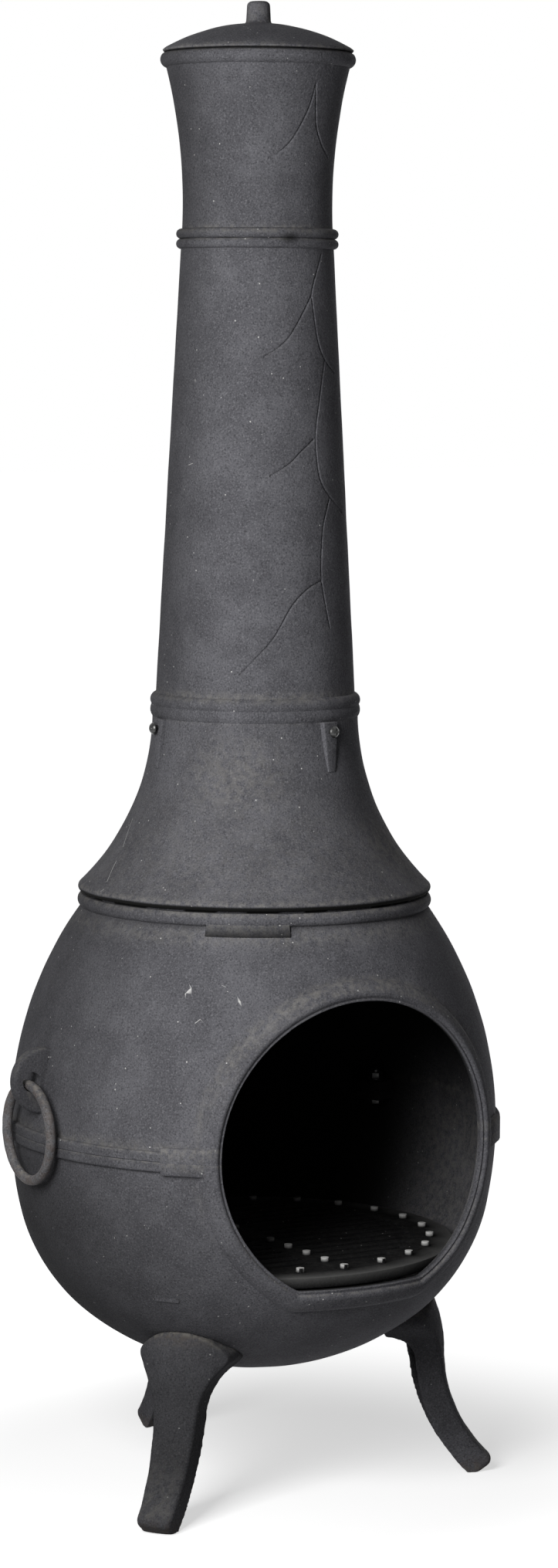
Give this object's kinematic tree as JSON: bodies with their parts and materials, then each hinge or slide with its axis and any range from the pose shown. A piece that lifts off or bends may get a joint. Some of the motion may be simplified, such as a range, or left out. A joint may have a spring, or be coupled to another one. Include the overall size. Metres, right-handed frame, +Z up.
{
  "type": "outdoor fireplace",
  "caption": "Free-standing cast-iron garden fireplace: round belly with a front mouth and grate, flared hood, tapering flue with a lift-off lid, carrying rings and cabriole legs.",
  "frame": {"origin": "on the floor plane that the three soles stand on, under the middle of the part from side to side and from front to back; the flue's axis stands 12.2 mm in front of it, at y = -0.0122", "axes": "+Z up, parallel to the flue's axis, the mouth faces -Y, the carrying rings hang at -X and +X"},
  "size_m": [0.5512, 0.4796, 1.5],
  "materials": {
    "stove_iron": "matte charcoal stove paint on sand-cast iron, dusty along raised edges",
    "grate_iron": "sooty bare casting with worn studs",
    "ring_iron": "matte painted round bar, rubbed lighter on its outer side",
    "bolt_steel": "blackened steel",
    "screw_steel": "blackened steel with a dull shine on the head"
  },
  "bodies": {
    "stove": {"lower_bowl": "stove_iron", "upper_bowl": "stove_iron", "hood": "stove_iron", "lower_flue": "stove_iron", "upper_flue": "stove_iron", "leg_front_left": "stove_iron", "leg_front_right": "stove_iron", "leg_back": "stove_iron", "seam_bolts": "bolt_steel", "seam_washers": "bolt_steel", "seam_nuts": "bolt_steel", "hood_bolts": "bolt_steel", "hood_nuts": "bolt_steel", "leg_bolts": "bolt_steel", "leg_washers": "bolt_steel", "leg_nuts": "bolt_steel", "neck_screws": "screw_steel"},
    "lid": {"lid": "stove_iron"},
    "grate": {"grate": "grate_iron"},
    "ring_left": {"ring_left": "ring_iron"},
    "ring_right": {"ring_right": "ring_iron"}
  },
  "joints": [
    {"name": "lid_lift", "type": "slide", "parent": "stove", "child": "lid", "axis": [0, 0, 1], "range_m": [0, 0.2]},
    {"name": "grate_lift", "type": "slide", "parent": "stove", "child": "grate", "axis": [0, 0, 1], "range_m": [0, 0.25]},
    {"name": "ring_left_swing", "type": "hinge", "parent": "stove", "child": "ring_left", "pos_m": [-0.25709, -0.01222, 0.42885], "axis": [0, 1, 0], "range_deg": [-2.5, 195]},
    {"name": "ring_right_swing", "type": "hinge", "parent": "stove", "child": "ring_right", "pos_m": [0.25709, -0.01222, 0.42885], "axis": [0, -1, 0], "range_deg": [-2.5, 195]}
  ]
}
